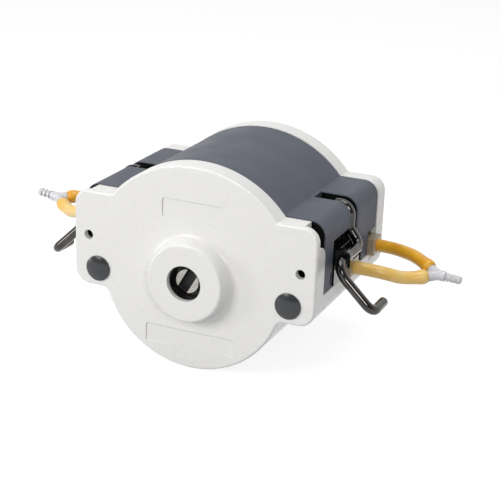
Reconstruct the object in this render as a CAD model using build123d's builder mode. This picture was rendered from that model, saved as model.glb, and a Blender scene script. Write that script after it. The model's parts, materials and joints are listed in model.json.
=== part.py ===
from build123d import *
from math import atan, atan2, cos, degrees, radians, sin, sqrt, tan
import os

os.makedirs("parts", exist_ok=True)

# A two channel peristaltic pump head.  X is across the head, Z is up and Y runs along the rotor
# from the front (negative) to the drive (zero).  The origin is on the rotor axis, in the plane
# of the rear face that sits on the drive.  Depths are measured back from the front face.

# ---------------------------------------------------------------- driving sizes, millimetres
# outline shared by the housing and the rear cover
arc_radius = 69.3               # big arc over the rotor
barrel_radius = 59.3            # round belly under the rotor
barrel_centre_z = 1.5
ear_half_width = 79.0
ear_top_z = 44.0
ear_bottom_z = -16.2
ear_top_corner = 9.0
ear_bottom_corner = 10.0
ear_root_fillet = 5.0

# off-white shells
shell_wall = 3.5
front_wall = 4.0
rear_wall = 6.0
front_flange_depth = 13.4
rear_flange_depth = 13.8
sill_z = 0.0                    # top of the housing's side walls
face_edge_round = 1.3
ear_window_width = 9.5          # outer part of the flange that leaves a thin corner plate
ear_window_overrun = 5.0        # these cuts run on past the ears' tops
post_top_z = 32.0
post_round = 8.8

# hub of the front face
boss_radius = 26.5
boss_front_radius = 24.0
boss_height = 9.4
boss_edge_round = 1.6
boss_foot_round = 2.0
hub_bore_radius = 11.0
seat_housing_radius = 19.0      # housing round each bearing
seat_lip = 1.0

# bare label fields, sunk a little into the front face
label_sink = 0.5
label_corner = 1.3
upper_label = (39.0, 11.3, 42.0)        # width, height, centre Z
lower_label = (59.0, 11.5, -39.8)

# dark top cover
cover_wall = 3.5
drum_inset = 0.5                # drum below the rims of the end covers
shoulder_inset = 0.6            # shoulder side inside the ears
shoulder_rise = 0.5             # shoulder top above the ears
shoulder_round = 9.0
cover_gap = 0.4                 # gap between the lifting cover and the fixed shells
web_thickness = 3.0             # end walls of the cover
web_bottom_z = 22.0
cover_lift = 10.0

# tubing
tube_radius = 4.0
tube_bore_radius = 2.4
squeezed_height = 2.8           # the tube under the rollers
squeezed_width = 11.8
tube_heights = {"front": 4.4, "rear": 5.2}     # where the tubes leave the head
front_channel_depth = 55.5
channel_spacing = 42.0          # from the front tube to the rear tube
track_inset = 5.3               # track inside the belly's radius
track_wall = 4.0
track_width = 12.6
track_rib = 2.5
track_end_gap = 2.0             # degrees
track_rib_angle = 42.0          # the tracks' ribs start this far above the horizontal
flatten_length = 13.0           # the tube changes from round to flat over this length
exit_bend_inset = 0.4           # the exit bend ends this far inside the stops
soft_gap = 0.3                  # between the tubes and what moves

# rotor
rollers_per_set = 4
roller_radius = 8.0
roller_length = 15.0
roller_end_gap = 0.4
bush_radius = 4.5
roller_pin_radius = 3.0
pin_head_radius = 4.2
pin_head_height = 1.2
carrier_thickness = 3.5
carrier_end_gap = 1.1           # from the last carrier to the rear bearing
carrier_room = 1.0              # round the carriers, clear of the tie pillars
carrier_rim = 5.9               # carriers outside the roller pins' circle
carrier_window_radius = 7.0
running_gap = 0.05
location_gap = 0.02

# shaft, bearings and rings
shaft_radius = 8.5
nose_radius = 8.0
nose_reach = 4.3                # slotted end, ahead of the front face
nose_slot_width = 7.0
nose_slot_depth = 5.0
nose_slot_angle = 60.5
tang_reach = 9.0                # behind the mounting face
tang_width = 7.0
sleeve_radius = 13.0
bearing_radius = 15.0
bearing_width = 7.0
inner_race_radius = 10.3
outer_race_radius = 13.2
ball_radius = 1.4
ball_count = 10
cage_thickness = 1.0
bearing_shield = 0.6
front_bearing_depth = 2.0
rear_bearing_inset = 1.0
ring_groove = 0.6
ring_thickness = 1.1
ring_reach = 1.9
ring_opening = 3.0
key_width = 5.0
key_height = 5.0
key_end_inset = 0.6

# rear pilot
pilot_radius = 23.0
pilot_height = 3.0
pilot_bore_radius = 12.0

# tie bolts and their caps
tie_inset = 16.3                # from the side of the ears
tie_z = -4.8
tie_radius = 3.0
tie_clearance = 0.2
tie_pillar_radius = 8.6
tie_head_radius = 5.2
tie_head_height = 3.3
tie_socket_size = 4.0
tie_socket_depth = 2.0
tie_head_well = 9.4             # depth of the well that takes the cap and the head
tie_well_radius = 6.2
tie_nut_size = 10.0
tie_nut_height = 5.0
tie_end_inset = 0.5             # bolt ends and nuts below the rear face
nut_pocket_gap = 0.1
cap_radius = 8.0
cap_rim = 0.8
cap_dome = 1.6
cap_stem_length = 2.6
cap_stem_wall = 1.4
cap_fit = 0.05

# long mounting screws pass through these
mount_hole_inset = 9.65         # from the side of the ears
mount_hole_z = 15.8
mount_hole_radius = 2.95
mount_sleeve_radius = 4.8
mount_sleeve_seat = 2.0
mount_boss_wall = 1.6

# latch levers, one bent rod on each side
rod_radius = 3.0
journal_overhang = 4.9          # journal axis outside the ears
journal_z = 17.6
hand_arm_lead = 34.2            # plane of the hand arm, ahead of the front tube
hook_lag = 4.0                  # plane of the hook, behind the front tube
hook_proud_side = 1.2           # hook outside the shoulder's side
hook_reach = 10.2               # from the hook's corner to its nose
hook_drop = 14.2                # from the hook's corner down to the shank's bend
hook_bend = 6.2
rod_bend = 6.0
knee_bend = 16.0
knee_offset = (5.0, -8.2)       # knee and elbow of the hand arm, from the journal axis
elbow_offset = (23.0, -25.4)
handle_length = 19.7
nose_round = 1.2
lever_swing = 42.0

# slot for the hook, and the bay for the latch block, in the cover
slot_front_gap = 1.0            # ahead of the hook
slot_rear_gap = 5.2             # behind it, room for a finger nail
slot_length = 24.0              # across the shoulder, from its side
slot_lip = 0.5                  # edge break of the slot
saddle_gap = 0.3
saddle_rib = 2.0
saddle_bottom_z = 29.0
bay_lead = 27.5                 # bay's front edge, ahead of the front tube
bay_top_z = 29.0
bay_foot_length = 11.5          # low notch behind the bay
bay_foot_top_z = 11.0
side_groove_lead = 2.0          # groove ahead of the bay
side_groove_width = 2.4
side_groove_z = (2.0, 10.0)
pin_hole_radius = 0.8
pin_hole_lead = 16.5            # ahead of the rear tube
pin_hole_z = 15.0

# latch blocks
block_bay_gap = 2.0             # behind the bay's front edge
block_stop_gap = 1.8            # ahead of the front stop
block_overhang = 3.5            # jaw behind the foot
block_lug_length = 4.6          # closed front end of the jaw
block_cheek = 1.5
block_crown = 2.5
block_backing = 0.4             # between the rod and the jaw's inner wall
block_round = 3.0
block_mouth = 5.0
block_flange = 4.0
block_flange_z = (-6.0, 5.0)
block_screw_radius = 1.5
block_screw_head = 2.75
block_screw_head_height = 1.8
block_screw_bite = 2.2
block_screw_z = -3.0
block_screw_inset = 4.0

# tube stops
stop_height = 10.4
stop_width = 13.4
stop_reach = 3.9                # outside the ears
stop_depth = 8.0                # across the wall
stop_tongue_width = 9.4
stop_tongue_depth = 4.0
stop_tongue_gap = 0.05
stop_edge_round = 0.8
notch_side_gap = 0.4
notch_top_z = 15.0

# branch connectors: junction outside the ears, behind the middle of the channels, and Z
branch_places = {"right": (49.6, 0.3, 0.9), "left": (59.6, 0.3, 6.5)}
branch_turns = {"right": (-4.0, 18.0), "left": (8.0, 15.0)}     # tilt up and roll, degrees
branch_spread = 35.0            # each arm from the connector's axis
branch_reach = 6.5              # from the junction to the end of each tube
branch_stub = 6.5               # how far each arm goes into its tube
branch_bore_radius = 1.5
branch_body_radius = 3.2
outlet_length = 14.6
outlet_radius = 2.1
barb_rise = 0.7
barb_length = 2.6
barb_count = 3

# points of the free tubes: outside the ears, behind the channel, and Z
leave_reach = 7.0               # straight out of each stop before the first bend
tube_runs = {
    ("front", "right"): [(22.0, 2.3, 2.4)],
    ("rear", "right"): [(22.0, -4.5, 5.8)],
    ("front", "left"): [(31.0, 3.0, -1.0)],
    ("rear", "left"): [(31.0, -2.5, 0.5)],
}
bend_share = 0.45               # of the shorter run, used by each bend

# ---------------------------------------------------------------- derived places
rear_channel_depth = front_channel_depth + channel_spacing
half_set = roller_length / 2 + roller_end_gap
rear_bearing_depth = rear_channel_depth + half_set + carrier_thickness + carrier_end_gap
head_depth = rear_bearing_depth + bearing_width + rear_bearing_inset    # front face to rear face
front_y = -head_depth
shoulder_x = ear_half_width - shoulder_inset
shoulder_top_z = ear_top_z + shoulder_rise
drum_radius = arc_radius - drum_inset
journal_x = ear_half_width + journal_overhang
track_radius = barrel_radius - track_inset
squeezed_radius = track_radius - soft_gap - squeezed_height / 2
roller_pitch_radius = track_radius - 2 * soft_gap - squeezed_height - roller_radius
carrier_radius = roller_pitch_radius + carrier_rim
channel_depths = {"front": front_channel_depth, "rear": rear_channel_depth}
sides = {"right": 1, "left": -1}
tie_x = ear_half_width - tie_inset
mount_hole_x = ear_half_width - mount_hole_inset
stop_outer_x = ear_half_width + stop_reach
# each exit bend leaves the squeezed arc at a tangent and ends level with its stop
exit_bend_x = stop_outer_x - stop_depth - exit_bend_inset
exit_bend_radii = {channel: (exit_bend_x ** 2 + z ** 2 - squeezed_radius ** 2) / (2 * (squeezed_radius - z))
                   for channel, z in tube_heights.items()}
exit_bend_zs = {channel: z + exit_bend_radii[channel] for channel, z in tube_heights.items()}
exit_join_angles = {channel: degrees(atan2(z, exit_bend_x)) for channel, z in exit_bend_zs.items()}
hook_corner_x = shoulder_x + hook_proud_side - rod_radius
hook_corner_z = shoulder_top_z - rod_radius
hook_plane_depth = front_channel_depth + hook_lag
lever_plane_depth = front_channel_depth - hand_arm_lead
slot_front_depth = hook_plane_depth - rod_radius - slot_front_gap
slot_rear_depth = hook_plane_depth + rod_radius + slot_rear_gap
slot_inner_x = shoulder_x - slot_length
bay_front_depth = front_channel_depth - bay_lead
block_front_depth = bay_front_depth + block_bay_gap
block_foot_rear_depth = front_channel_depth - stop_width / 2 - block_stop_gap
block_rear_depth = block_foot_rear_depth + block_overhang
block_bottom_z = journal_z - rod_radius - block_cheek
rear_inner_depth = head_depth - rear_wall
cover_front_depth = front_flange_depth + cover_gap
cover_rear_depth = head_depth - rear_flange_depth - cover_gap
sill_rear_depth = head_depth - rear_flange_depth
ear_wall_x = ear_half_width - shell_wall


def at_depth(depth):
    """Plane this far behind the front face; extrusions run towards the front."""
    return Plane.XZ.offset(head_depth - depth)


def save(piece, name):
    piece.part.label = name
    export_step(piece.part, f"parts/{name}.step")


def outline_sketch(inset=0.0):
    """Outline of the end faces: an arc over two ears, with a round belly below."""
    half = ear_half_width - inset
    top = ear_top_z - inset
    bottom = ear_bottom_z + inset
    with BuildSketch() as ears:
        with Locations((0, (top + bottom) / 2)):
            Rectangle(2 * half, top - bottom)
        fillet(ears.vertices().group_by(Axis.Y)[-1], ear_top_corner - inset)
        fillet(ears.vertices().group_by(Axis.Y)[0], ear_bottom_corner - inset)
        with Locations((0, barrel_centre_z)):
            Circle(barrel_radius - inset)
        roots = [v for v in ears.vertices() if abs(v.Y - bottom) < 0.01 and abs(v.X) < barrel_radius]
        fillet(roots, ear_root_fillet + inset)
    with BuildSketch() as cap:
        Circle(arc_radius - inset)
        Rectangle(3 * arc_radius, 2 * arc_radius, align=(Align.CENTER, Align.MIN), mode=Mode.INTERSECT)
    with BuildSketch() as whole:
        add(ears.sketch)
        add(cap.sketch)
    return whole.sketch


def cover_sketch(inset=0.0):
    """Outline of the top cover: a drum between two round-edged shoulders, open below."""
    top = shoulder_top_z - inset
    with BuildSketch() as shoulders:
        with Locations((0, top)):
            Rectangle(2 * (shoulder_x - inset), top - sill_z - cover_gap, align=(Align.CENTER, Align.MAX))
        fillet(shoulders.vertices().group_by(Axis.Y)[-1], shoulder_round - inset)
    with BuildSketch() as drum:
        Circle(drum_radius - inset)
        with Locations((0, sill_z + cover_gap)):
            Rectangle(3 * arc_radius, 2 * arc_radius, align=(Align.CENTER, Align.MIN), mode=Mode.INTERSECT)
    with BuildSketch() as whole:
        add(shoulders.sketch)
        add(drum.sketch)
    return whole.sketch


def ring(start_depth, end_depth, outer, inner=0.0, mode=Mode.ADD, centre=(0, 0)):
    """A round or ring on an axis along Y, between two depths behind the front face."""
    with BuildSketch(at_depth(end_depth)) as section:
        with Locations(centre):
            Circle(outer)
            if inner > 0:
                Circle(inner, mode=Mode.SUBTRACT)
    extrude(section.sketch, amount=end_depth - start_depth, mode=mode)


def slab(start_depth, end_depth, left, right, low, high, mode=Mode.ADD):
    """A plain block between two depths, two X and two Z."""
    with BuildSketch(at_depth(end_depth)) as section:
        with Locations(((left + right) / 2, (low + high) / 2)):
            Rectangle(abs(right - left), high - low)
    extrude(section.sketch, amount=end_depth - start_depth, mode=mode)


both_ties = [(side * tie_x, tie_z) for side in (-1, 1)]
both_mounts = [(side * mount_hole_x, mount_hole_z) for side in (-1, 1)]

# ---------------------------------------------------------------- housing
with BuildPart() as pump_housing:
    with BuildSketch(at_depth(sill_rear_depth)):
        add(outline_sketch())
    extrude(amount=sill_rear_depth)
    fillet(pump_housing.faces().sort_by(Axis.Y)[0].edges(), face_edge_round)
    # everything above the sills is cut away behind the front flange
    slab(front_flange_depth, sill_rear_depth + 1, -2 * arc_radius, 2 * arc_radius, sill_z, 2 * arc_radius,
         mode=Mode.SUBTRACT)
    with BuildSketch(at_depth(sill_rear_depth)):
        add(outline_sketch(shell_wall))
    extrude(amount=sill_rear_depth - front_wall, mode=Mode.SUBTRACT)
    # corner windows, with a rounded post left below each
    window_top = ear_top_z + ear_window_overrun
    for side in (-1, 1):
        with BuildSketch(Plane.YZ.offset(side * (ear_half_width - ear_window_width))):
            with BuildLine():
                lip_y = front_y + front_wall
                end_y = front_y + front_flange_depth
                Polyline((end_y - post_round, post_top_z), (lip_y, post_top_z), (lip_y, window_top),
                         (end_y + 2, window_top), (end_y + 2, post_top_z - post_round),
                         (end_y, post_top_z - post_round))
                RadiusArc((end_y, post_top_z - post_round), (end_y - post_round, post_top_z),
                          -post_round)
            make_face()
        extrude(amount=side * (ear_window_width + 1), mode=Mode.SUBTRACT)
    # hub with its bearing seat
    with BuildSketch(at_depth(0)):
        Circle(boss_radius)
    extrude(amount=boss_height, taper=degrees(atan((boss_radius - boss_front_radius) / boss_height)))
    boss_face = pump_housing.faces().sort_by(Axis.Y)[0]
    fillet(boss_face.edges(), boss_edge_round)
    foot = pump_housing.edges().filter_by(GeomType.CIRCLE)
    foot = [e for e in foot if abs(e.radius - boss_radius) < 0.01 and abs(e.center().Y - front_y) < 0.01]
    fillet(foot, boss_foot_round)
    ring(0, front_bearing_depth + bearing_width + seat_lip, seat_housing_radius)
    ring(-boss_height - 1, front_bearing_depth + 1, hub_bore_radius, mode=Mode.SUBTRACT)
    ring(front_bearing_depth, front_bearing_depth + bearing_width + seat_lip + 1, bearing_radius,
         mode=Mode.SUBTRACT)
    # pillars, wells and clearance holes of the tie bolts
    for spot in both_ties:
        ring(front_wall - 1, front_flange_depth, tie_pillar_radius, centre=spot)
    for spot in both_ties:
        ring(-1, tie_head_well, tie_well_radius, mode=Mode.SUBTRACT, centre=spot)
        ring(0, front_flange_depth + 1, tie_radius + tie_clearance, mode=Mode.SUBTRACT, centre=spot)
    # seats of the mounting sleeves
    for spot in both_mounts:
        ring(front_wall - 1, front_wall + mount_sleeve_seat, mount_sleeve_radius + mount_boss_wall,
             centre=spot)
    for spot in both_mounts:
        ring(-1, front_wall + 1, mount_hole_radius, mode=Mode.SUBTRACT, centre=spot)
        ring(front_wall, front_wall + mount_sleeve_seat + 1, mount_sleeve_radius + location_gap,
             mode=Mode.SUBTRACT, centre=spot)
    # sunk label fields
    for width, height, middle in (upper_label, lower_label):
        with BuildSketch(at_depth(label_sink)):
            with Locations((0, middle)):
                RectangleRounded(width, height, label_corner)
        extrude(amount=2 * label_sink, mode=Mode.SUBTRACT)
    # notches for the stops' tongues, and holes for the latch blocks' screws
    for side in (-1, 1):
        for depth in channel_depths.values():
            half = stop_tongue_width / 2 + stop_tongue_gap
            slab(depth - half, depth + half, side * (ear_wall_x - 1), side * (ear_half_width + 1),
                 sill_z - stop_tongue_depth - stop_tongue_gap, sill_z + 1, mode=Mode.SUBTRACT)
        with BuildSketch(Plane.YZ.offset(side * (ear_wall_x - 1))):
            for depth in (block_front_depth + block_screw_inset, block_foot_rear_depth - block_screw_inset):
                with Locations((front_y + depth, block_screw_z)):
                    Circle(block_screw_radius)
        extrude(amount=side * (block_screw_bite + 1), mode=Mode.SUBTRACT)
save(pump_housing, "pump_housing")

# ---------------------------------------------------------------- rear cover
with BuildPart() as rear_cover:
    with BuildSketch(at_depth(head_depth)):
        add(outline_sketch())
    extrude(amount=rear_flange_depth)
    fillet(rear_cover.faces().sort_by(Axis.Y)[-1].edges(), face_edge_round)
    with BuildSketch(at_depth(rear_inner_depth)):
        add(outline_sketch(shell_wall))
    extrude(amount=rear_flange_depth - rear_wall, mode=Mode.SUBTRACT)
    ring(rear_bearing_depth, rear_inner_depth + 1, seat_housing_radius)
    ring(rear_inner_depth + 1, head_depth + pilot_height, pilot_radius)
    chamfer(rear_cover.edges().filter_by(GeomType.CIRCLE).sort_by(Axis.Y)[-1], 0.6)
    ring(rear_bearing_depth - 1, head_depth - rear_bearing_inset, bearing_radius, mode=Mode.SUBTRACT)
    ring(rear_bearing_depth, head_depth + pilot_height + 1, pilot_bore_radius, mode=Mode.SUBTRACT)
    for spot in both_ties:
        ring(sill_rear_depth, rear_inner_depth + 1, tie_pillar_radius, centre=spot)
    ring(sill_rear_depth - 1, rear_bearing_depth, carrier_radius + carrier_room, mode=Mode.SUBTRACT)
    for spot in both_ties:
        ring(sill_rear_depth - 1, head_depth + 1, tie_radius + tie_clearance, mode=Mode.SUBTRACT,
             centre=spot)
        with BuildSketch(at_depth(head_depth + 1)):
            with Locations(spot):
                RegularPolygon(tie_nut_size / 2 + nut_pocket_gap, 6, major_radius=False)
        extrude(amount=tie_nut_height + tie_end_inset + 1, mode=Mode.SUBTRACT)
    for spot in both_mounts:
        ring(rear_inner_depth - mount_sleeve_seat, rear_inner_depth + 1,
             mount_sleeve_radius + mount_boss_wall, centre=spot)
    for spot in both_mounts:
        ring(rear_inner_depth - 1, head_depth + 1, mount_hole_radius, mode=Mode.SUBTRACT, centre=spot)
        ring(rear_inner_depth - mount_sleeve_seat - 1, rear_inner_depth,
             mount_sleeve_radius + location_gap, mode=Mode.SUBTRACT, centre=spot)
save(rear_cover, "rear_cover")

# ---------------------------------------------------------------- top cover
slot_width = slot_rear_depth - slot_front_depth
saddle_x = hook_corner_x - rod_radius - saddle_gap
saddle_z = hook_corner_z - rod_radius - saddle_gap
saddle_round = hook_bend - rod_radius - saddle_gap

with BuildPart() as top_cover:
    with BuildSketch(at_depth(cover_rear_depth)):
        add(cover_sketch())
    extrude(amount=cover_rear_depth - cover_front_depth)
    with BuildSketch(at_depth(cover_rear_depth - web_thickness)):
        add(cover_sketch(cover_wall))
    extrude(amount=cover_rear_depth - cover_front_depth - 2 * web_thickness, mode=Mode.SUBTRACT)
    # ribs that carry the saddles of the hooks
    with BuildSketch(at_depth(slot_rear_depth + saddle_rib)):
        add(cover_sketch(cover_wall / 2))
        with BuildSketch(mode=Mode.PRIVATE) as keep:
            for side in (-1, 1):
                with Locations((side * (slot_inner_x - 2 * saddle_rib + shoulder_x) / 2,
                                saddle_bottom_z)):
                    Rectangle(shoulder_x - slot_inner_x + 2 * saddle_rib, shoulder_top_z,
                              align=(Align.CENTER, Align.MIN))
        add(keep.sketch, mode=Mode.INTERSECT)
    extrude(amount=slot_width + 2 * saddle_rib)
    # arches in the end walls over the rotor, open below where the tubes and sleeves pass
    with BuildSketch(at_depth(cover_rear_depth + 1)):
        Circle(track_radius + track_wall)
        with Locations((0, web_bottom_z)):
            Rectangle(2 * (shoulder_x - cover_wall), 2 * web_bottom_z, align=(Align.CENTER, Align.MAX))
    extrude(amount=cover_rear_depth - cover_front_depth + 2, mode=Mode.SUBTRACT)
    # slots for the hooks, with a saddle that follows each hook
    with BuildSketch(at_depth(slot_rear_depth)):
        for side in (-1, 1):
            with Locations((side * (slot_inner_x + 2 * shoulder_x) / 2, saddle_bottom_z - 1)):
                Rectangle(2 * shoulder_x - slot_inner_x, shoulder_top_z, align=(Align.CENTER, Align.MIN))
        with BuildSketch(mode=Mode.PRIVATE) as saddle:
            with Locations((0, saddle_z)):
                Rectangle(2 * saddle_x, saddle_z, align=(Align.CENTER, Align.MAX))
            fillet(saddle.vertices().group_by(Axis.Y)[-1], saddle_round)
        add(saddle.sketch, mode=Mode.SUBTRACT)
    extrude(amount=slot_width, mode=Mode.SUBTRACT)
    # broken edges along the slots' outer rims
    rims = []
    for depth in (slot_front_depth, slot_rear_depth):
        for edge in top_cover.edges():
            middle = edge @ 0.5
            flat = all(abs(point.Y - front_y - depth) < 0.01 for point in (edge @ 0, middle, edge @ 1))
            skin = (abs(middle.Z - shoulder_top_z) < 0.01 or abs(abs(middle.X) - shoulder_x) < 0.01
                    or (edge.geom_type == GeomType.CIRCLE and abs(edge.radius - shoulder_round) < 0.01))
            if flat and skin and abs(middle.X) > slot_inner_x and middle.Z > saddle_bottom_z - 1:
                rims.append(edge)
    chamfer(rims, slot_lip)
    # bays for the latch blocks, notches for the stops, side grooves and pin holes
    for side in (-1, 1):
        wall = (side * (shoulder_x - cover_wall), side * (shoulder_x + 1))
        slab(bay_front_depth, slot_rear_depth, *wall, sill_z - 1, bay_top_z, mode=Mode.SUBTRACT)
        slab(bay_front_depth, slot_rear_depth + bay_foot_length, *wall, sill_z - 1, bay_foot_top_z,
             mode=Mode.SUBTRACT)
        half = stop_width / 2 + notch_side_gap
        with BuildSketch(Plane.YZ.offset(side * (shoulder_x - stop_depth))):
            with Locations((front_y + rear_channel_depth, notch_top_z)):
                Rectangle(2 * half, 2 * notch_top_z, align=(Align.CENTER, Align.MAX))
        extrude(amount=side * 2 * stop_depth, mode=Mode.SUBTRACT)
        groove_rear_depth = bay_front_depth - side_groove_lead + side_groove_width / 2
        slab(groove_rear_depth - side_groove_width, groove_rear_depth, *wall, *side_groove_z,
             mode=Mode.SUBTRACT)
        with BuildSketch(Plane.YZ.offset(wall[0])):
            with Locations((front_y + rear_channel_depth - pin_hole_lead, pin_hole_z)):
                Circle(pin_hole_radius)
        extrude(amount=side * 2 * cover_wall, mode=Mode.SUBTRACT)
save(top_cover, "top_cover")

# ---------------------------------------------------------------- tracks, carried by the cover
for channel, depth in channel_depths.items():
    track_start = exit_join_angles[channel] + track_end_gap
    with BuildPart() as occlusion_track:
        for start, width, inner, outer in (
                (track_start, track_width, track_radius, track_radius + track_wall),
                (track_rib_angle, track_rib, track_radius + track_wall, drum_radius - cover_wall)):
            with BuildSketch(Plane.XY.rotated((0, -start, 0))):
                with Locations((inner, front_y + depth)):
                    Rectangle(outer - inner, width, align=(Align.MIN, Align.CENTER))
            revolve(axis=Axis.Y, revolution_arc=-(180 - 2 * start))
    save(occlusion_track, f"occlusion_track_{channel}")

# ---------------------------------------------------------------- bolts, nuts, sleeves and caps
with BuildPart() as tie_bolts:
    for spot in both_ties:
        ring(tie_head_well - tie_head_height, tie_head_well, tie_head_radius, centre=spot)
    chamfer(tie_bolts.faces().group_by(Axis.Y)[0].edges(), 0.8)
    for spot in both_ties:
        ring(tie_head_well, head_depth - tie_end_inset, tie_radius, centre=spot)
    with BuildSketch(at_depth(tie_head_well - tie_head_height + tie_socket_depth)):
        with Locations(*both_ties):
            RegularPolygon(tie_socket_size / 2, 6, major_radius=False)
    extrude(amount=tie_socket_depth + 1, mode=Mode.SUBTRACT)
save(tie_bolts, "tie_bolts")

with BuildPart() as tie_nuts:
    with BuildSketch(at_depth(head_depth - tie_end_inset)):
        with Locations(*both_ties):
            RegularPolygon(tie_nut_size / 2, 6, major_radius=False)
            Circle(tie_radius, mode=Mode.SUBTRACT)
    extrude(amount=tie_nut_height)
save(tie_nuts, "tie_nuts")

with BuildPart() as mounting_sleeves:
    for spot in both_mounts:
        ring(front_wall, rear_inner_depth, mount_sleeve_radius, mount_hole_radius, centre=spot)
save(mounting_sleeves, "mounting_sleeves")

dome_radius = (cap_radius ** 2 + cap_dome ** 2) / (2 * cap_dome)
cap_base = front_y - cap_rim
half_way = (cap_radius / 2, cap_base - cap_dome + dome_radius - sqrt(dome_radius ** 2 - cap_radius ** 2 / 4))
for side_name, side in sides.items():
    with BuildPart() as cover_cap:
        ring(-cap_rim, 0, cap_radius, centre=(side * tie_x, tie_z))
        with BuildSketch(Plane(origin=(side * tie_x, 0, tie_z))):
            with BuildLine():
                Polyline((0, cap_base - cap_dome), (0, cap_base), (cap_radius, cap_base))
                ThreePointArc((cap_radius, cap_base), half_way, (0, cap_base - cap_dome))
            make_face()
        revolve(axis=Axis((side * tie_x, 0, tie_z), (0, 1, 0)))
        stem = tie_well_radius - cap_fit
        ring(0, cap_stem_length, stem, stem - cap_stem_wall, centre=(side * tie_x, tie_z))
    save(cover_cap, f"cover_cap_{side_name}")

# ---------------------------------------------------------------- latch blocks and their screws
block_outer_x = journal_x + rod_radius + block_cheek
block_top_z = journal_z + rod_radius + block_crown
screw_depths = (block_front_depth + block_screw_inset, block_foot_rear_depth - block_screw_inset)
for side_name, side in sides.items():
    with BuildPart() as latch_block:
        # an open jaw: a wall beside the rod and a lip under its inner half
        inner_x = journal_x - rod_radius - block_backing
        slab(block_front_depth, block_rear_depth, side * ear_wall_x, side * inner_x, block_bottom_z,
             block_top_z)
        slab(block_front_depth, block_rear_depth, side * ear_wall_x, side * journal_x, block_bottom_z,
             journal_z - rod_radius)
        # its front end closes over the rod
        with BuildSketch(at_depth(block_front_depth + block_lug_length)) as lug:
            with Locations((side * (ear_wall_x + block_outer_x) / 2, (block_bottom_z + block_top_z) / 2)):
                Rectangle(block_outer_x - ear_wall_x, block_top_z - block_bottom_z)
            outer_corners = [v for v in lug.vertices() if abs(v.X) > journal_x]
            fillet(ShapeList(outer_corners).sort_by(Axis.Y)[-1], block_round)
            with Locations((side * journal_x, journal_z)):
                Rectangle(block_mouth, 2 * (journal_z - block_bottom_z), align=(Align.CENTER, Align.MAX),
                          mode=Mode.SUBTRACT)
        extrude(amount=block_lug_length)
        ring(block_front_depth - 1, block_rear_depth + 1, rod_radius + running_gap,
             centre=(side * journal_x, journal_z), mode=Mode.SUBTRACT)
        slab(block_front_depth, block_foot_rear_depth, side * ear_wall_x, side * ear_half_width,
             sill_z, block_bottom_z)
        slab(block_front_depth, block_foot_rear_depth, side * (ear_wall_x - block_flange),
             side * ear_wall_x, *block_flange_z)
        with BuildSketch(Plane.YZ.offset(side * ear_wall_x)):
            for depth in screw_depths:
                with Locations((front_y + depth, block_screw_z)):
                    Circle(block_screw_radius)
        extrude(amount=-side * (block_flange + 1), mode=Mode.SUBTRACT)
    save(latch_block, f"latch_block_{side_name}")

with BuildPart() as latch_screws:
    for side in sides.values():
        for radius, start, length in (
                (block_screw_radius, ear_wall_x + block_screw_bite, block_flange + block_screw_bite),
                (block_screw_head, ear_wall_x - block_flange, block_screw_head_height)):
            with BuildSketch(Plane.YZ.offset(side * start)) as section:
                for depth in screw_depths:
                    with Locations((front_y + depth, block_screw_z)):
                        Circle(radius)
            extrude(section.sketch, amount=-side * length)
save(latch_screws, "latch_screws")


# ---------------------------------------------------------------- latch levers
def bent_rod(points, radii, radius, bore=0.0):
    """A round rod or tube along straight runs joined by tangent arcs."""
    with BuildLine() as path:
        FilletPolyline(*points, radius=radii)
    start = path.line @ 0
    with BuildPart() as rod:
        for size, mode in ((radius, Mode.ADD), (bore, Mode.SUBTRACT)):
            if size > 0:
                with BuildSketch(Plane(origin=start, z_dir=path.line % 0)) as section:
                    Circle(size)
                sweep(section.sketch, path=path.line, mode=mode)
    return rod.part


hook_y = front_y + hook_plane_depth
arm_y = front_y + lever_plane_depth
for side_name, side in sides.items():
    rod_points = [
        (side * (hook_corner_x - hook_reach), hook_y, hook_corner_z),
        (side * hook_corner_x, hook_y, hook_corner_z),
        (side * hook_corner_x, hook_y, hook_corner_z - hook_drop),
        (side * journal_x, hook_y, journal_z),
        (side * journal_x, arm_y, journal_z),
        (side * (journal_x + knee_offset[0]), arm_y, journal_z + knee_offset[1]),
        (side * (journal_x + elbow_offset[0]), arm_y, journal_z + elbow_offset[1]),
        (side * (journal_x + elbow_offset[0]), arm_y + handle_length, journal_z + elbow_offset[1]),
    ]
    rod_radii = [hook_bend, rod_bend, rod_bend, rod_bend, knee_bend, rod_bend]
    lever_raw = bent_rod(rod_points, rod_radii, rod_radius)
    with BuildPart() as latch_lever:
        add(lever_raw)
        ends = latch_lever.faces().filter_by(GeomType.PLANE)
        fillet([edge for face in ends for edge in face.edges()], nose_round)
    save(latch_lever, f"latch_lever_{side_name}")

# ---------------------------------------------------------------- tube stops
for side_name, side in sides.items():
    for channel, depth in channel_depths.items():
        with BuildPart() as tube_stop:
            slab(depth - stop_width / 2, depth + stop_width / 2, side * (stop_outer_x - stop_depth),
                 side * stop_outer_x, sill_z, stop_height)
            fillet(tube_stop.edges().filter_by(Axis.Z), stop_edge_round)
            slab(depth - stop_tongue_width / 2, depth + stop_tongue_width / 2, side * ear_wall_x,
                 side * ear_half_width, sill_z - stop_tongue_depth, sill_z + 1)
            with BuildSketch(Plane.YZ.offset(side * (stop_outer_x - stop_depth - 1))):
                with Locations((front_y + depth, tube_heights[channel])):
                    Circle(tube_radius)
            extrude(amount=side * (stop_depth + 2), mode=Mode.SUBTRACT)
        save(tube_stop, f"tube_stop_{channel}_{side_name}")

# ---------------------------------------------------------------- shaft and what turns with it
def key_body(start_depth, end_depth, gap=0.0):
    """A flat key lying half in the shaft, on its upper side."""
    with BuildPart() as key:
        slab(start_depth, end_depth, -key_width / 2 - gap, key_width / 2 + gap,
             shaft_radius - key_height / 2, shaft_radius + key_height / 2 + gap)
    return key.part


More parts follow.
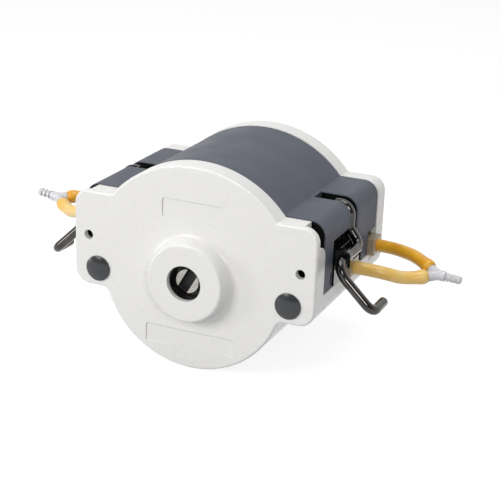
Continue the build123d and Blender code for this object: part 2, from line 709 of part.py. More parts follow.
key_spans = {channel: (depth - half_set - carrier_thickness + key_end_inset,
                       depth + half_set + carrier_thickness - key_end_inset)
             for channel, depth in channel_depths.items()}
ring_depths = {"front": front_bearing_depth - ring_thickness,
               "rear": rear_bearing_depth + bearing_width}
with BuildPart() as drive_shaft:
    ring(front_bearing_depth - 2 * ring_thickness, head_depth + ring_thickness, shaft_radius)
    ring(-nose_reach, front_bearing_depth, nose_radius)
    chamfer(drive_shaft.faces().sort_by(Axis.Y)[0].edges(), 0.7)
    with BuildSketch(at_depth(-nose_reach + nose_slot_depth)):
        Rectangle(4 * nose_radius, nose_slot_width, rotation=nose_slot_angle)
    extrude(amount=nose_slot_depth + 1, mode=Mode.SUBTRACT)
    with BuildSketch(at_depth(head_depth + tang_reach)):
        Circle(nose_radius)
        Rectangle(4 * nose_radius, tang_width, rotation=nose_slot_angle, mode=Mode.INTERSECT)
    extrude(amount=tang_reach)
    for start in ring_depths.values():
        ring(start, start + ring_thickness, 2 * shaft_radius, shaft_radius - ring_groove, mode=Mode.SUBTRACT)
    for span in key_spans.values():
        add(key_body(*span), mode=Mode.SUBTRACT)
save(drive_shaft, "drive_shaft")

with BuildPart() as retaining_rings:
    for start in ring_depths.values():
        ring(start, start + ring_thickness, shaft_radius + ring_reach, shaft_radius - ring_groove)
        slab(start - 1, start + ring_thickness + 1, -ring_opening / 2, ring_opening / 2, -2 * shaft_radius, 0,
             mode=Mode.SUBTRACT)
save(retaining_rings, "retaining_rings")

with BuildPart() as shaft_keys:
    for span in key_spans.values():
        add(key_body(*span))
save(shaft_keys, "shaft_keys")

for place, start in (("front", front_bearing_depth), ("rear", rear_bearing_depth)):
    end = start + bearing_width
    middle = (start + end) / 2
    with BuildPart() as outer_race:
        ring(start, end, bearing_radius, outer_race_radius)
        for shield_start in (start, end - bearing_shield):
            ring(shield_start, shield_start + bearing_shield, outer_race_radius,
                 inner_race_radius + soft_gap)
    save(outer_race, f"bearing_outer_race_{place}")
    with BuildPart() as inner_race:
        ring(start, end, inner_race_radius, shaft_radius)
    save(inner_race, f"bearing_inner_race_{place}")
    with BuildPart() as ball_row:
        pitch = (inner_race_radius + outer_race_radius) / 2
        with Locations(at_depth(middle)):
            with PolarLocations(pitch, ball_count):
                Sphere(ball_radius)
        ring(middle - cage_thickness / 2, middle + cage_thickness / 2, pitch + cage_thickness / 2,
             pitch - cage_thickness / 2)
    save(ball_row, f"ball_row_{place}")

front_edge, rear_edge = (channel_depths[c] for c in ("front", "rear"))
sleeve_spans = {
    "front_end": (front_bearing_depth + bearing_width, front_edge - half_set - carrier_thickness),
    "front_set": (front_edge - half_set, front_edge + half_set),
    "middle": (front_edge + half_set + carrier_thickness, rear_edge - half_set - carrier_thickness),
    "rear_set": (rear_edge - half_set, rear_edge + half_set),
    "rear_end": (rear_edge + half_set + carrier_thickness, rear_bearing_depth),
}
for place, (start, end) in sleeve_spans.items():
    outer = inner_race_radius if place.endswith("end") else sleeve_radius
    with BuildPart() as shaft_sleeve:
        ring(start, end, outer, shaft_radius + location_gap)
        if place.endswith("set"):
            add(key_body(start - 1, end + 1, location_gap), mode=Mode.SUBTRACT)
    save(shaft_sleeve, f"shaft_sleeve_{place}")

set_turn = {"front": 0.0, "rear": 180.0 / rollers_per_set}
for channel, depth in channel_depths.items():
    turns = [90 + set_turn[channel] + 360 * n / rollers_per_set for n in range(rollers_per_set)]
    spots = [(roller_pitch_radius * cos(radians(t)), roller_pitch_radius * sin(radians(t))) for t in turns]
    middles = [t + 180 / rollers_per_set for t in turns]
    window_pitch = (sleeve_radius + carrier_radius) / 2
    windows = [(window_pitch * cos(radians(t)), window_pitch * sin(radians(t))) for t in middles]
    outer_faces = (depth - half_set - carrier_thickness, depth + half_set)
    for place, start in zip(("ahead", "behind"), outer_faces):
        with BuildPart() as roller_carrier:
            ring(start, start + carrier_thickness, carrier_radius, shaft_radius + location_gap)
            for spot in spots:
                ring(start - 1, start + carrier_thickness + 1, roller_pin_radius, centre=spot,
                     mode=Mode.SUBTRACT)
            for spot in windows:
                ring(start - 1, start + carrier_thickness + 1, carrier_window_radius, centre=spot,
                     mode=Mode.SUBTRACT)
            add(key_body(start - 1, start + carrier_thickness + 1, location_gap), mode=Mode.SUBTRACT)
        save(roller_carrier, f"roller_carrier_{channel}_{place}")
    with BuildPart() as roller_pins:
        for spot in spots:
            ring(outer_faces[0] - pin_head_height, outer_faces[1] + carrier_thickness, roller_pin_radius,
                 centre=spot)
            ring(outer_faces[0] - pin_head_height, outer_faces[0], pin_head_radius, centre=spot)
    save(roller_pins, f"roller_pins_{channel}")
    for number, spot in enumerate(spots, 1):
        start, end = depth - roller_length / 2, depth + roller_length / 2
        with BuildPart() as roller:
            ring(start, end, roller_radius, centre=spot)
            chamfer(roller.edges(), 0.6)
            ring(start - 1, end + 1, bush_radius, centre=spot, mode=Mode.SUBTRACT)
        save(roller, f"roller_{channel}_{number}")
        with BuildPart() as roller_bush:
            ring(start, end, bush_radius, roller_pin_radius + running_gap, centre=spot)
        save(roller_bush, f"roller_bush_{channel}_{number}")

# ---------------------------------------------------------------- branch connectors and tubes
def branch_frame(side_name):
    """Junction point, outward direction and sideways direction of one connector."""
    reach, behind, z = branch_places[side_name]
    tilt, roll = branch_turns[side_name]
    side = sides[side_name]
    out = Vector(side * cos(radians(tilt)), 0, sin(radians(tilt)))
    rise = Vector(-side * sin(radians(tilt)), 0, cos(radians(tilt)))
    aside = Vector(0, cos(radians(roll)), 0) + rise * sin(radians(roll))
    middle_depth = (front_channel_depth + rear_channel_depth) / 2
    return Vector(side * (ear_half_width + reach), front_y + middle_depth + behind, z), out, aside


def arm_direction(side_name, channel):
    _, out, aside = branch_frame(side_name)
    sign = 1 if channel == "rear" else -1
    spread = radians(branch_spread)
    return out * -cos(spread) + aside * (sign * sin(spread))


def cord_radii(points):
    """Bend radii that leave a straight stretch in each run."""
    vectors = [Vector(*p) for p in points]
    radii = []
    for before, corner, after in zip(vectors, vectors[1:], vectors[2:]):
        first, second = corner - before, after - corner
        half_turn = radians(first.get_angle(second)) / 2
        radii.append(bend_share * min(first.length, second.length) / tan(half_turn))
    return radii


for side_name in sides:
    junction, out, _ = branch_frame(side_name)
    with BuildPart() as branch:
        Sphere(branch_body_radius)
        arms = [arm_direction(side_name, channel) for channel in channel_depths]
        for direction in arms:
            with BuildSketch(Plane(origin=(0, 0, 0), z_dir=direction)):
                Circle(branch_body_radius)
            extrude(amount=branch_reach)
            with BuildSketch(Plane(origin=direction * (branch_reach - 1), z_dir=direction)):
                Circle(tube_bore_radius)
            extrude(amount=branch_stub + 1)
        with BuildSketch(Plane(origin=(0, 0, 0), z_dir=out)):
            Circle(branch_body_radius)
        extrude(amount=branch_body_radius + 1.5)
        with BuildSketch(Plane(origin=(0, 0, 0), z_dir=out)):
            Circle(outlet_radius)
        extrude(amount=outlet_length)
        for number in range(barb_count):
            reach = outlet_length - number * (barb_length + 0.4)
            with BuildSketch(Plane(origin=out * reach, z_dir=-out)):
                Circle(outlet_radius)
            extrude(amount=barb_length, taper=-degrees(atan(barb_rise / barb_length)))
        bores = [(out, outlet_length + 1)] + [(arm, branch_reach + branch_stub + 1) for arm in arms]
        for direction, reach in bores:
            with BuildSketch(Plane(origin=(0, 0, 0), z_dir=direction)):
                Circle(branch_bore_radius)
            extrude(amount=reach, mode=Mode.SUBTRACT)
        branch_raw = branch.part
    with BuildPart() as y_connector:
        add(branch_raw.moved(Location(junction)))
    save(y_connector, f"y_connector_{side_name}")

loft_steps = 4
for channel, depth in channel_depths.items():
    y = front_y + depth
    exit_join_angle = exit_join_angles[channel]
    bend_start = 180 + exit_join_angle
    exit_bend_z, exit_bend_radius = exit_bend_zs[channel], exit_bend_radii[channel]
    flatten_turn = degrees(flatten_length / exit_bend_radius)
    tube_z = tube_heights[channel]
    pieces = []
    with BuildPart() as squeezed:
        start_plane = Plane(origin=(squeezed_radius * cos(radians(exit_join_angle)), y,
                                    squeezed_radius * sin(radians(exit_join_angle))),
                            x_dir=(0, 1, 0), z_dir=(-sin(radians(exit_join_angle)), 0,
                                                    cos(radians(exit_join_angle))))
        with BuildSketch(start_plane):
            Ellipse(squeezed_width / 2, squeezed_height / 2)
        revolve(axis=Axis.Y, revolution_arc=-(180 - 2 * exit_join_angle))
    pieces.append(squeezed.part)
    for side_name, side in sides.items():
        with BuildPart() as change:
            for step in range(loft_steps):
                angle = radians(bend_start + step / (loft_steps - 1) * flatten_turn)
                share = (step / (loft_steps - 1)) ** 2
                tangent = (-side * sin(angle), 0, cos(angle))
                spot = (side * (exit_bend_x + exit_bend_radius * cos(angle)), y,
                        exit_bend_z + exit_bend_radius * sin(angle))
                with BuildSketch(Plane(origin=spot, x_dir=(0, 1, 0), z_dir=tangent)):
                    Ellipse(squeezed_width / 2 + share * (tube_radius - squeezed_width / 2),
                            squeezed_height / 2 + share * (tube_radius - squeezed_height / 2))
            loft()
        pieces.append(change.part)

        junction, _, _ = branch_frame(side_name)
        arm = arm_direction(side_name, channel)
        tube_end = junction + arm * branch_reach
        bend_end = (side * exit_bend_x, y, tube_z)
        runs = [(side * (ear_half_width + reach), y + behind, z)
                for reach, behind, z in tube_runs[(channel, side_name)]]
        stop_exit = (side * (stop_outer_x + soft_gap), y, tube_z)
        leave = (side * (stop_outer_x + leave_reach), y, tube_z)
        last = tube_end + arm * ((branch_stub + soft_gap) / (1 - bend_share))
        cord = [stop_exit, leave] + runs + [tuple(last), tuple(tube_end)]
        radii = cord_radii(cord)
        print(f"tube {channel} {side_name} bend radii", [round(r, 1) for r in radii])
        begin = radians(bend_start + flatten_turn)
        middle = (begin + radians(270)) / 2
        arc_points = [(side * (exit_bend_x + exit_bend_radius * cos(a)), y,
                       exit_bend_z + exit_bend_radius * sin(a)) for a in (begin, middle, radians(270))]
        with BuildLine() as path:
            ThreePointArc(*arc_points)
            Line(bend_end, stop_exit)
            FilletPolyline(*cord, radius=radii)
        length = sum(edge.length for edge in path.edges())
        print(f"tube {channel} {side_name} round part length", round(length, 1))
        begin_plane = Plane(origin=arc_points[0], z_dir=(-side * sin(begin), 0, cos(begin)))
        with BuildPart() as free:
            for size, mode in ((tube_radius, Mode.ADD), (tube_bore_radius, Mode.SUBTRACT)):
                with BuildSketch(begin_plane) as section:
                    Circle(size)
                sweep(section.sketch, path=path.wire(), mode=mode)
        pieces.append(free.part)
    with BuildPart() as pump_tube:
        for piece in pieces:
            add(piece)
    print(f"tube {channel} volume", round(pump_tube.part.volume))
    save(pump_tube, f"pump_tube_{channel}")
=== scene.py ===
"""Looks for the peristaltic pump head: materials, soft tubes, a hub lined in black as painted shade, light
and camera.
"""

import json
import math

import bpy
from mathutils import Matrix, Vector


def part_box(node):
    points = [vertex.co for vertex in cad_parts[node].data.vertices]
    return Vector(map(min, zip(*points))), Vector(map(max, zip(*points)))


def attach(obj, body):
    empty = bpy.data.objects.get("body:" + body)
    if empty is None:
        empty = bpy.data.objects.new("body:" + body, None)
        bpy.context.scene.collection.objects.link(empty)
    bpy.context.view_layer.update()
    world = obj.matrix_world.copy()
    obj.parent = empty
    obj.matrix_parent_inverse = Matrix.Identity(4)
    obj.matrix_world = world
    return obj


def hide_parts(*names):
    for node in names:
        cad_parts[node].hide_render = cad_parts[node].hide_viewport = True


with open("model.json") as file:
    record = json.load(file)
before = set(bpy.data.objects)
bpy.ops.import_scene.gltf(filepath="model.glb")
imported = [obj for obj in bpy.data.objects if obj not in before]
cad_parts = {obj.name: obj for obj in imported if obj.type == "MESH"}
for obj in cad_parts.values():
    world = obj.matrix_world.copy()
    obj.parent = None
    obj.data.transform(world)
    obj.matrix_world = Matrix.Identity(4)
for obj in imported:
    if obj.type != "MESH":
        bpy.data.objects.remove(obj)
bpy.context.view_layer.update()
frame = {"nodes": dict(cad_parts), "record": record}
record = frame["record"]
nodes = frame["nodes"]
MM = 0.001

# ---------------------------------------------------------------- places taken from the frame
CAP_STEM = 2.6 * MM                 # the caps' stems end this far behind the front face
housing_low, housing_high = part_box("pump_housing")
rear_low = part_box("rear_cover")[0]
cover_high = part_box("top_cover")[1]
front_face_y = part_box("cover_cap_right")[1].y - CAP_STEM
stop_outer_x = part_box("tube_stop_front_right")[1].x
mounts = {mount["name"]: mount for mount in record["mounts"]}


# ---------------------------------------------------------------- shader maths
class Value:
    """A shader socket, so that materials read as plain arithmetic."""

    def __init__(self, tree, socket):
        self.tree, self.socket = tree, socket

    def node(self, kind, inputs=None, output=0, **settings):
        """Adds a node of any kind, links or sets its inputs and returns one output."""
        made = self.tree.nodes.new(kind)
        for name, setting in settings.items():
            setattr(made, name, setting)
        for name, value in (inputs or {}).items():
            if isinstance(value, Value):
                self.tree.links.new(value.socket, made.inputs[name])
            else:
                made.inputs[name].default_value = value
        return Value(self.tree, made.outputs[output])

    def maths(self, operation, other=None, third=None):
        """Adds a Math node with this value as its first input."""
        inputs = {0: self}
        if other is not None:
            inputs[1] = other
        if third is not None:
            inputs[2] = third
        return self.node("ShaderNodeMath", inputs, operation=operation)

    def __add__(self, other):
        return self.maths("ADD", other)

    def __sub__(self, other):
        return self.maths("SUBTRACT", other)

    def __mul__(self, other):
        return self.maths("MULTIPLY", other)

    def __radd__(self, other):
        return self.maths("ADD", other)

    def __rmul__(self, other):
        return self.maths("MULTIPLY", other)

    def __rsub__(self, other):
        return self.maths("MULTIPLY_ADD", -1.0, other)

    def __abs__(self):
        return self.maths("ABSOLUTE")

    def ramp(self, low, high, start=0.0, end=1.0):
        """Goes smoothly from start to end while this value goes from low to high."""
        return self.node("ShaderNodeMapRange", {"Value": self, "From Min": low, "From Max": high,
                                                "To Min": start, "To Max": end},
                         interpolation_type="SMOOTHSTEP")

    def blend(self, first, second):
        """Mixes two colours by this value."""
        return self.node("ShaderNodeMix", {0: self, 6: colour(first), 7: colour(second)}, output=2,
                         data_type="RGBA")


def colour(value):
    """A colour with its alpha, or a socket as it is."""
    if isinstance(value, Value):
        return value
    return (*value, 1.0) if len(value) == 3 else value


class Surface:
    """One material: its node tree, its object coordinates and what is made from them."""

    def __init__(self, name):
        self.material = bpy.data.materials.new(name)
        self.material.use_nodes = True
        self.tree = self.material.node_tree
        self.tree.nodes.clear()
        start = self.tree.nodes.new("ShaderNodeTexCoord")
        self.place = Value(self.tree, start.outputs["Object"])
        axes = self.tree.nodes.new("ShaderNodeSeparateXYZ")
        self.tree.links.new(start.outputs["Object"], axes.inputs[0])
        self.x, self.y, self.z = (Value(self.tree, axes.outputs[i]) for i in range(3))

    def noise(self, scale, detail=3.0, roughness=0.5, stretch=(1, 1, 1)):
        """Soft noise over the object, drawn out along the axes whose stretch is small."""
        place = self.place
        if stretch != (1, 1, 1):
            place = place.node("ShaderNodeMapping", {"Vector": place, "Scale": stretch})
        return place.node("ShaderNodeTexNoise", {"Vector": place, "Scale": scale, "Detail": detail,
                                                 "Roughness": roughness})

    def soft_edges(self, radius):
        """Rounds the look of sharp edges."""
        return self.place.node("ShaderNodeBevel", {"Radius": radius}, samples=4)

    def bump(self, height, strength, depth, edge=0.0):
        """Fine relief, over edges that look rounded where edge is given."""
        inputs = {"Height": height, "Strength": strength, "Distance": depth}
        if edge > 0:
            inputs["Normal"] = self.soft_edges(edge)
        return height.node("ShaderNodeBump", inputs)

    def finish(self, **inputs):
        """Feeds a Principled shader; names with underscores stand for the socket names."""
        shader = self.tree.nodes.new("ShaderNodeBsdfPrincipled")
        for name, value in inputs.items():
            socket = shader.inputs[name.replace("_", " ")]
            if isinstance(value, Value):
                self.tree.links.new(value.socket, socket)
            elif hasattr(value, "__len__") and len(value) == 3 and socket.type == "RGBA":
                socket.default_value = (*value, 1.0)
            else:
                socket.default_value = value
        out = self.tree.nodes.new("ShaderNodeOutputMaterial")
        self.tree.links.new(shader.outputs[0], out.inputs[0])
        return self.material


# ---------------------------------------------------------------- materials
# the cover's shoulders: the rounding of their outer top corners, Z of their tops, X where they start
SHOULDER_ROUND, SHOULDER_TOP, SHOULDER_START = 9.0 * MM, 44.5 * MM, 54.0 * MM
SKIN_DEPTH, PAINTED_SHADE_DEPTH = 0.55 * MM, 0.8 * MM      # painted shade: grey down to the first, black from the second
# painted shade behind the shaft's nose: bare down to the first, black between the middle two, bare past
# the last
SHADE_DEPTHS = (0.25 * MM, 0.6 * MM, 9.0 * MM, 10.0 * MM)


def moulded(name, base, roughness, coat=0.3, grain=900.0, grain_depth=0.02, edge=0.4):
    """Moulded plastic: faint flow clouds, fine grain and slight wear in the gloss."""
    s = Surface(name)
    cloud = s.noise(18, detail=2)
    fine = s.noise(grain, detail=2)
    tint = cloud.ramp(0.2, 0.8).blend([c * 0.99 for c in base], [c * 1.005 for c in base])
    gloss = s.noise(60, detail=2).ramp(0.2, 0.8, roughness * 0.92, roughness * 1.08)
    normal = s.bump(fine, strength=0.12, depth=grain_depth * MM, edge=edge * MM)
    return s.finish(Base_Color=tint, Roughness=gloss, Coat_Weight=coat, Coat_Roughness=0.12,
                    Normal=normal, IOR=1.48)


def metal(name, base, roughness, stretch=(1, 1, 1)):
    """Machined metal with fine lines along its turning or grinding direction."""
    s = Surface(name)
    lines = s.noise(700, detail=4, roughness=0.6, stretch=stretch)
    tint = lines.ramp(0.3, 0.7).blend([c * 0.9 for c in base], base)
    gloss = lines.ramp(0.3, 0.7, roughness * 0.8, roughness * 1.3)
    normal = s.bump(lines, strength=0.15, depth=0.01 * MM)
    return s.finish(Base_Color=tint, Roughness=gloss, Metallic=1.0, Normal=normal)


def cover_plastic():
    """Satin dark moulding, with painted shade in matt black on its pockets and end faces, inside its outer
    skin.
    """
    s = Surface("cover_dark")
    across = abs(s.x)
    past_x = (across - (cover_high.x - SHOULDER_ROUND)).maths("MAXIMUM", 0.0)
    past_z = (s.z - (SHOULDER_TOP - SHOULDER_ROUND)).maths("MAXIMUM", 0.0)
    under_skin = SHOULDER_ROUND - (past_x * past_x + past_z * past_z).maths("SQRT")
    # painted shade: the slot, the bay and the end faces deep inside the shoulders are made black
    painted_shade = under_skin.ramp(SKIN_DEPTH, PAINTED_SHADE_DEPTH) * across.ramp(SHOULDER_START, SHOULDER_START + MM)
    cloud = s.noise(16, detail=2).ramp(0.35, 0.65)
    skin = cloud.blend((0.100, 0.109, 0.137), (0.106, 0.115, 0.144))
    gloss = s.noise(60, detail=3).ramp(0.3, 0.7, 0.42, 0.52)
    fine = s.noise(1600, detail=2)
    return s.finish(Base_Color=painted_shade.blend(skin, (0.0025, 0.0025, 0.003)),
                    Roughness=gloss + painted_shade * 0.3, Specular_IOR_Level=0.14,
                    Normal=s.bump(fine, strength=0.25, depth=0.02 * MM, edge=0.5 * MM), IOR=1.48)


def shaft_with_painted_shade(nose_y):
    """Ground steel on the faces of the nose, with painted shade in black down its slot and sides."""
    s = Surface("shaft_nose")
    lines = s.noise(500, detail=4, roughness=0.6, stretch=(0.15, 1, 1)).ramp(0.3, 0.7)
    start, full, fade, end = (nose_y + depth for depth in SHADE_DEPTHS)
    # painted shade: the nose's slot and sides inside the hub are made black
    deep = s.y.ramp(start, full) * (1 - s.y.ramp(fade, end))
    bare = lines.blend((0.34, 0.32, 0.29), (0.46, 0.44, 0.41))
    return s.finish(Base_Color=deep.blend(bare, (0.006, 0.006, 0.006)), Metallic=1 - deep * 0.9,
                    Roughness=lines * 0.1 + 0.24 + deep * 0.2,
                    Normal=s.bump(lines, strength=0.15, depth=0.01 * MM))


def black_chrome():
    """Bright, very dark plating on the bent wire levers."""
    s = Surface("lever_black_chrome")
    wear = s.noise(140, detail=3)
    return s.finish(Base_Color=wear.ramp(0.4, 0.7).blend((0.050, 0.047, 0.045), (0.075, 0.070, 0.066)),
                    Metallic=1.0, Roughness=s.noise(300, detail=3).ramp(0.3, 0.7, 0.05, 0.11),
                    Coat_Weight=0.35, Coat_Roughness=0.03)


def elastomer(name, deep, pale):
    """Pump tubing: clouded colour, a fine matt grain and a soft sheen."""
    s = Surface(name)
    cloud = s.noise(90, detail=4).ramp(0.3, 0.7)
    return s.finish(Base_Color=cloud.blend(deep, pale),
                    Roughness=s.noise(400, detail=3).ramp(0.3, 0.7, 0.28, 0.4),
                    Coat_Weight=0.25, Coat_Roughness=0.2, Subsurface_Weight=0.2,
                    Subsurface_Radius=(0.004, 0.002, 0.0006), Subsurface_Scale=1.0,
                    Normal=s.bump(s.noise(1200, detail=2), strength=0.15, depth=0.02 * MM))


def milky_plastic():
    """Cloudy, half clear moulding of the branch connectors."""
    s = Surface("connector")
    cloud = s.noise(120, detail=3).ramp(0.2, 0.8)
    return s.finish(Base_Color=cloud.blend((0.76, 0.76, 0.79), (0.83, 0.83, 0.86)),
                    Roughness=s.noise(200, detail=2).ramp(0.3, 0.7, 0.22, 0.3),
                    Transmission_Weight=0.12, IOR=1.45, Subsurface_Weight=0.6,
                    Subsurface_Radius=(0.004, 0.004, 0.004), Subsurface_Scale=1.0,
                    Normal=s.soft_edges(0.9 * MM))


def dress(node_name, material):
    """Gives a node of the part its one material."""
    mesh = nodes[node_name].data
    mesh.materials.clear()
    mesh.materials.append(material)


# black for the hub's bearing seal, and for the liner sheet that is painted shade
seal_and_shade_black = moulded("seal_and_painted_shade_black", (0.008, 0.008, 0.009), roughness=0.3, coat=0.1)
# painted light and shade: one tubing in two colours, paler on the front tube as if lit and deeper on the
# rear tube as if in shade
tube_painted_lit = elastomer("tube_painted_lit", (0.93, 0.55, 0.12), (0.98, 0.68, 0.25))
tube_painted_shade = elastomer("tube_painted_shade", (0.80, 0.36, 0.010), (0.88, 0.46, 0.025))
finishes = {
    "housing_white": moulded("housing_white", (0.80, 0.795, 0.775), roughness=0.28, grain=1400,
                             grain_depth=0.01, edge=0.7),
    "cover_dark": cover_plastic(),
    "track": moulded("track", (0.60, 0.57, 0.50), roughness=0.4),
    "lever_black_chrome": black_chrome(),
    "block_black": moulded("block_black", (0.006, 0.006, 0.007), roughness=0.1, coat=0.6, grain=500,
                           grain_depth=0.01),
    "cap_dark": moulded("cap_dark", (0.028, 0.030, 0.034), roughness=0.22, coat=0.15, grain=1500),
    "steel": metal("steel", (0.62, 0.61, 0.60), roughness=0.22, stretch=(1, 0.05, 1)),
    "carrier": metal("carrier", (0.68, 0.69, 0.70), roughness=0.3),
    "bush": metal("bush", (0.60, 0.42, 0.18), roughness=0.3),
    "roller": metal("roller", (0.70, 0.70, 0.71), roughness=0.18, stretch=(1, 0.03, 1)),
    "tube": tube_painted_lit,
    "stop": moulded("stop", (0.36, 0.29, 0.19), roughness=0.3, grain=800),
    "connector": milky_plastic(),
}
for part in record["subparts"]:
    dress(part["node"], finishes[part["material_slot"]])
dress("drive_shaft", shaft_with_painted_shade(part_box("drive_shaft")[0].y))

# ---------------------------------------------------------------- painted shade in the hub: a black liner sheet in the bore and a black bearing seal
HUB_BORE, SEAL_BORE = 10.96 * MM, 8.4 * MM          # radii
SHADE_LINER_INSET, SHADE_LINER_WALL = 3.0 * MM, 0.4 * MM
SEAL_FRONT, SEAL_BACK = 0.2 * MM, 0.7 * MM          # behind the plane of the front face
TURNED_EDGE = 0.1 * MM
TURNED_SIDES = 96
SMOOTH_ANGLE = math.radians(40)


def turned_shell(name, front_y, back_y, radius, wall):
    """A thin round wall on the rotor's axis, between two Y."""
    bpy.ops.object.select_all(action="DESELECT")
    bpy.ops.mesh.primitive_cylinder_add(vertices=TURNED_SIDES, radius=radius, depth=back_y - front_y,
                                        end_fill_type="NOTHING", rotation=(math.pi / 2, 0, 0),
                                        location=(0, (front_y + back_y) / 2, 0))
    piece = bpy.context.object
    piece.name = name
    bpy.ops.object.transform_apply(location=True, rotation=True, scale=True)
    solid = piece.modifiers.new("wall", "SOLIDIFY")
    solid.thickness, solid.offset = wall, -1
    bpy.ops.object.modifier_apply(modifier=solid.name)
    edge = piece.modifiers.new("edge", "BEVEL")
    edge.width, edge.segments = TURNED_EDGE, 2
    bpy.ops.object.modifier_apply(modifier=edge.name)
    bpy.ops.object.shade_smooth_by_angle(angle=SMOOTH_ANGLE)
    piece.data.materials.append(seal_and_shade_black)
    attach(piece, "head")


# painted shade: the black liner sheet stands for the shade in the bore; the seal is a bearing seal, made
# black also to paint the shade behind it
turned_shell("hub_shade_liner", housing_low.y + SHADE_LINER_INSET, front_face_y + SEAL_FRONT, HUB_BORE, SHADE_LINER_WALL)
turned_shell("hub_seal", front_face_y + SEAL_FRONT, front_face_y + SEAL_BACK, HUB_BORE,
             HUB_BORE - SEAL_BORE)

# ---------------------------------------------------------------- pump tubes
TUBE_RADIUS, TUBE_WALL = 4.0 * MM, 1.35 * MM
SQUEEZED_HALF_WIDTH, SQUEEZED_HALF_HEIGHT = 5.9 * MM, 1.4 * MM
SQUEEZED_RADIUS = 52.3 * MM         # middle of the squeezed tube round the rotor
SQUEEZED_SLIT = 0.05 * MM           # half of what is left of the bore, at the least
FLATTEN_LENGTH = 13.0 * MM          # the tube changes from flat to round over this length
LEAVE_REACH = 7.0 * MM              # straight out of each stop
OUTLET_LENGTH, BRANCH_REACH, BRANCH_STUB = 14.6 * MM, 6.5 * MM, 6.5 * MM
BRANCH_SPREAD = math.radians(35.0)  # between each arm and the outlet's line
BRANCH_ROLLS = {"right": math.radians(18.0), "left": math.radians(15.0)}
EXIT_HEIGHTS = {"front": 4.4 * MM, "rear": 5.2 * MM}
EXIT_BEND_X = stop_outer_x - 8.4 * MM               # where the bend from the rotor is level again
# one point in the middle of each free tube, in mm: outside the ears, behind the channel, and Z
FREE_POINTS = {("front", "right"): (22.0, 2.3, 3.2), ("rear", "right"): (22.0, -4.5, 5.8),
               ("front", "left"): (30.0, 0.0, 8.0), ("rear", "left"): (31.0, -2.5, 0.5)}
# height, place and length of what swells: a fold past each stop, a bulge over each barbed stub
FOLD_HEIGHT, FOLD_PLACE, FOLD_LENGTH = 0.42 * MM, 1.9 * MM, 0.8 * MM
BULGE_HEIGHT, BULGE_PLACE, BULGE_LENGTH = 0.6 * MM, 3.2 * MM, 3.2 * MM
LIP_DEPTH, LIP_LENGTH = 0.5 * MM, 0.5 * MM          # the rounded rim at each end
ARC_CORNERS = 2                     # of the line of control points round each arc
ROUTE_STEPS = 10                    # points per control point
RING_SIDES = 28


def arc_corners(centre, radius, start, end):
    """Corners, in X and Z, of the run of straight lines that wraps an arc."""
    step = (end - start) / ARC_CORNERS
    reach = radius / math.cos(step / 2)
    angles = [start + step * (i + 0.5) for i in range(ARC_CORNERS)]
    return [(centre[0] + reach * math.cos(a), centre[1] + reach * math.sin(a)) for a in angles]


def tube_route(channel):
    """Control points from the left connector, over the rotor, to the right connector."""
    low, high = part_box(f"occlusion_track_{channel}")
    y = (low.y + high.y) / 2
    exit_z = EXIT_HEIGHTS[channel]
    bend = (EXIT_BEND_X ** 2 + exit_z ** 2 - SQUEEZED_RADIUS ** 2) / (2 * (SQUEEZED_RADIUS - exit_z))
    join = math.atan2(exit_z + bend, EXIT_BEND_X)
    half = arc_corners((0, 0), SQUEEZED_RADIUS, math.pi / 2, join)
    half += arc_corners((EXIT_BEND_X, exit_z + bend), bend, math.pi + join, 1.5 * math.pi)
    halves = {}
    for side, sign in (("right", 1), ("left", -1)):
        outlet = mounts[f"outlet_{side}"]
        out = Vector(outlet["axis"]).normalized()
        junction = Vector(outlet["pos_m"]) - OUTLET_LENGTH * out
        rise = Vector((-out.z * sign, 0, out.x * sign))
        aside = Vector((0, math.cos(BRANCH_ROLLS[side]), 0)) + math.sin(BRANCH_ROLLS[side]) * rise
        sway = 1 if channel == "rear" else -1
        arm = -math.cos(BRANCH_SPREAD) * out + sway * math.sin(BRANCH_SPREAD) * aside
        end = junction + BRANCH_REACH * arm
        reach, behind, z = (v * MM for v in FREE_POINTS[(channel, side)])
        free = [Vector((sign * (stop_outer_x + LEAVE_REACH), y, exit_z)),
                Vector((sign * (housing_high.x + reach), y + behind, z)),
                end + 2 * BRANCH_STUB * arm, end]
        halves[side] = [Vector((sign * px, y, pz)) for px, pz in half] + free
    span = (math.pi / 2 - join) * SQUEEZED_RADIUS
    return halves["left"][::-1] + halves["right"], span


def smooth_line(controls):
    """Points along the smooth curve that the control points shape."""
    curve = bpy.data.curves.new("route", "CURVE")
    curve.dimensions = "3D"
    curve.resolution_u = ROUTE_STEPS
    spline = curve.splines.new("NURBS")
    spline.points.add(len(controls) - 1)
    for point, place in zip(spline.points, controls):
        point.co = (*place, 1.0)
    spline.order_u = 3
    spline.use_endpoint_u = True
    holder = bpy.data.objects.new("route", curve)
    bpy.context.scene.collection.objects.link(holder)
    mesh = bpy.data.meshes.new_from_object(holder)
    points = [v.co.copy() for v in mesh.vertices]
    bpy.data.objects.remove(holder)
    bpy.data.meshes.remove(mesh)
    return points


def swell(distance, length):
    """A smooth hump: 1 in its middle, and almost nothing two lengths away."""
    return math.exp(-(distance / length) ** 2)


def swelling(x, from_end):
    """How much fatter the tube is, from its place outside the stops and its distance from an end."""
    past_stop = abs(x) - stop_outer_x
    fold = FOLD_HEIGHT * swell(past_stop - FOLD_PLACE, FOLD_LENGTH)
    bulge = BULGE_HEIGHT * swell(from_end - BULGE_PLACE, BULGE_LENGTH)
    lip = -LIP_DEPTH * swell(from_end, LIP_LENGTH)
    return fold + bulge + lip


def side_directions(tangents, top):
    """The tube's wide direction at each point: along Y at the top, and carried on without twist."""
    sides = {top: Vector((0, 1, 0))}
    for step in (1, -1):
        side = sides[top]
        i = top + step
        while 0 <= i < len(tangents):
            side = (side - side.dot(tangents[i]) * tangents[i]).normalized()
            sides[i] = side
            i += step
    return sides


